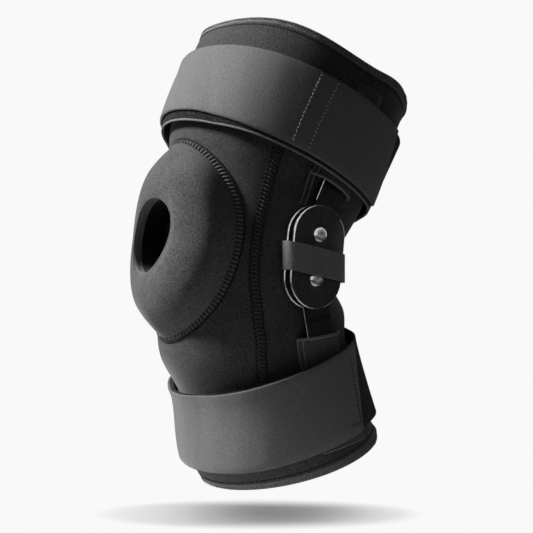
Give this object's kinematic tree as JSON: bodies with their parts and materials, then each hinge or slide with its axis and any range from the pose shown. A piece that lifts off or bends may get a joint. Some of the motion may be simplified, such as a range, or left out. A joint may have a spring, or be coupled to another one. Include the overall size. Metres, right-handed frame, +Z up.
{
  "type": "hinged knee brace",
  "caption": "Neoprene knee sleeve with an open patella pad, a geared two-pivot hinge with side bars on each side, and thigh and calf straps; worn on a bent leg.",
  "frame": {"origin": "on the line midway between the two hinges, half way between each hinge's two pivots", "axes": "+X to the outer side of the leg, -Y to the front where the kneecap sits, +Z up along the leg"},
  "size_m": [0.1668, 0.2006, 0.3118],
  "materials": {
    "neoprene": "matt jersey-faced neoprene",
    "hem_tape": "folded tape with overlock stitches",
    "woven_elastic": "twill woven elastic",
    "hinge_webbing": "twill woven band",
    "loop_pile": "fuzzy loop pile",
    "pocket_cloth": "plain woven cloth",
    "pad_gel": "soft moulded ring",
    "hinge_plate": "satin black with bright edges",
    "bar_steel": "satin black",
    "rivet_steel": "bright domed rivet",
    "washer_nylon": "plain nylon"
  },
  "bodies": {
    "thigh": {"thigh_sleeve": "neoprene", "thigh_hem": "hem_tape", "thigh_strap_lining": "loop_pile", "thigh_strap": "woven_elastic", "lateral_upper_bar": "bar_steel", "lateral_upper_pocket": "pocket_cloth", "medial_upper_bar": "bar_steel", "medial_upper_pocket": "pocket_cloth"},
    "knee": {"knee_sleeve": "neoprene", "patella_cover": "neoprene", "patella_ring": "pad_gel", "lateral_inner_plate": "hinge_plate", "lateral_outer_plate": "hinge_plate", "lateral_hinge_loop": "hinge_webbing", "lateral_upper_rivet": "rivet_steel", "lateral_lower_rivet": "rivet_steel", "medial_inner_plate": "hinge_plate", "medial_outer_plate": "hinge_plate", "medial_hinge_loop": "hinge_webbing", "medial_upper_rivet": "rivet_steel", "medial_lower_rivet": "rivet_steel", "lateral_upper_inner_washer": "washer_nylon", "lateral_upper_outer_washer": "washer_nylon", "lateral_lower_inner_washer": "washer_nylon", "lateral_lower_outer_washer": "washer_nylon", "medial_upper_inner_washer": "washer_nylon", "medial_upper_outer_washer": "washer_nylon", "medial_lower_inner_washer": "washer_nylon", "medial_lower_outer_washer": "washer_nylon"},
    "calf": {"calf_sleeve": "neoprene", "calf_hem": "hem_tape", "calf_strap_lining": "loop_pile", "calf_strap": "woven_elastic", "lateral_lower_bar": "bar_steel", "lateral_lower_pocket": "pocket_cloth", "medial_lower_bar": "bar_steel", "medial_lower_pocket": "pocket_cloth"},
    "thigh_tab": {"thigh_strap_tab": "woven_elastic"},
    "calf_tab": {"calf_strap_tab": "woven_elastic"}
  },
  "joints": [
    {"name": "knee_flex", "type": "hinge", "parent": "thigh", "child": "knee", "pos_m": [0, 0.00146, 0.01392], "axis": [1, 0, 0], "range_deg": [-16, 28], "stiffness_Nm_per_rad": 1.2, "deforming": ["knee_sleeve"]},
    {"name": "calf_flex", "type": "hinge", "parent": "knee", "child": "calf", "pos_m": [0, -0.00146, -0.01392], "axis": [1, 0, 0], "range_deg": [-16, 28]},
    {"name": "thigh_tab_peel", "type": "hinge", "parent": "thigh", "child": "thigh_tab", "pos_m": [0.07585, -0.01102, 0.09147], "axis": [-0.1343, -0.3856, -0.9128], "range_deg": [0, 70]},
    {"name": "calf_tab_peel", "type": "hinge", "parent": "calf", "child": "calf_tab", "pos_m": [0.06743, -0.01405, -0.10043], "axis": [0.0765, 0.2495, -0.9653], "range_deg": [0, 70]}
  ],
  "couplings": [
    {"joint": "calf_flex", "follows": "knee_flex", "ratio": 1}
  ]
}
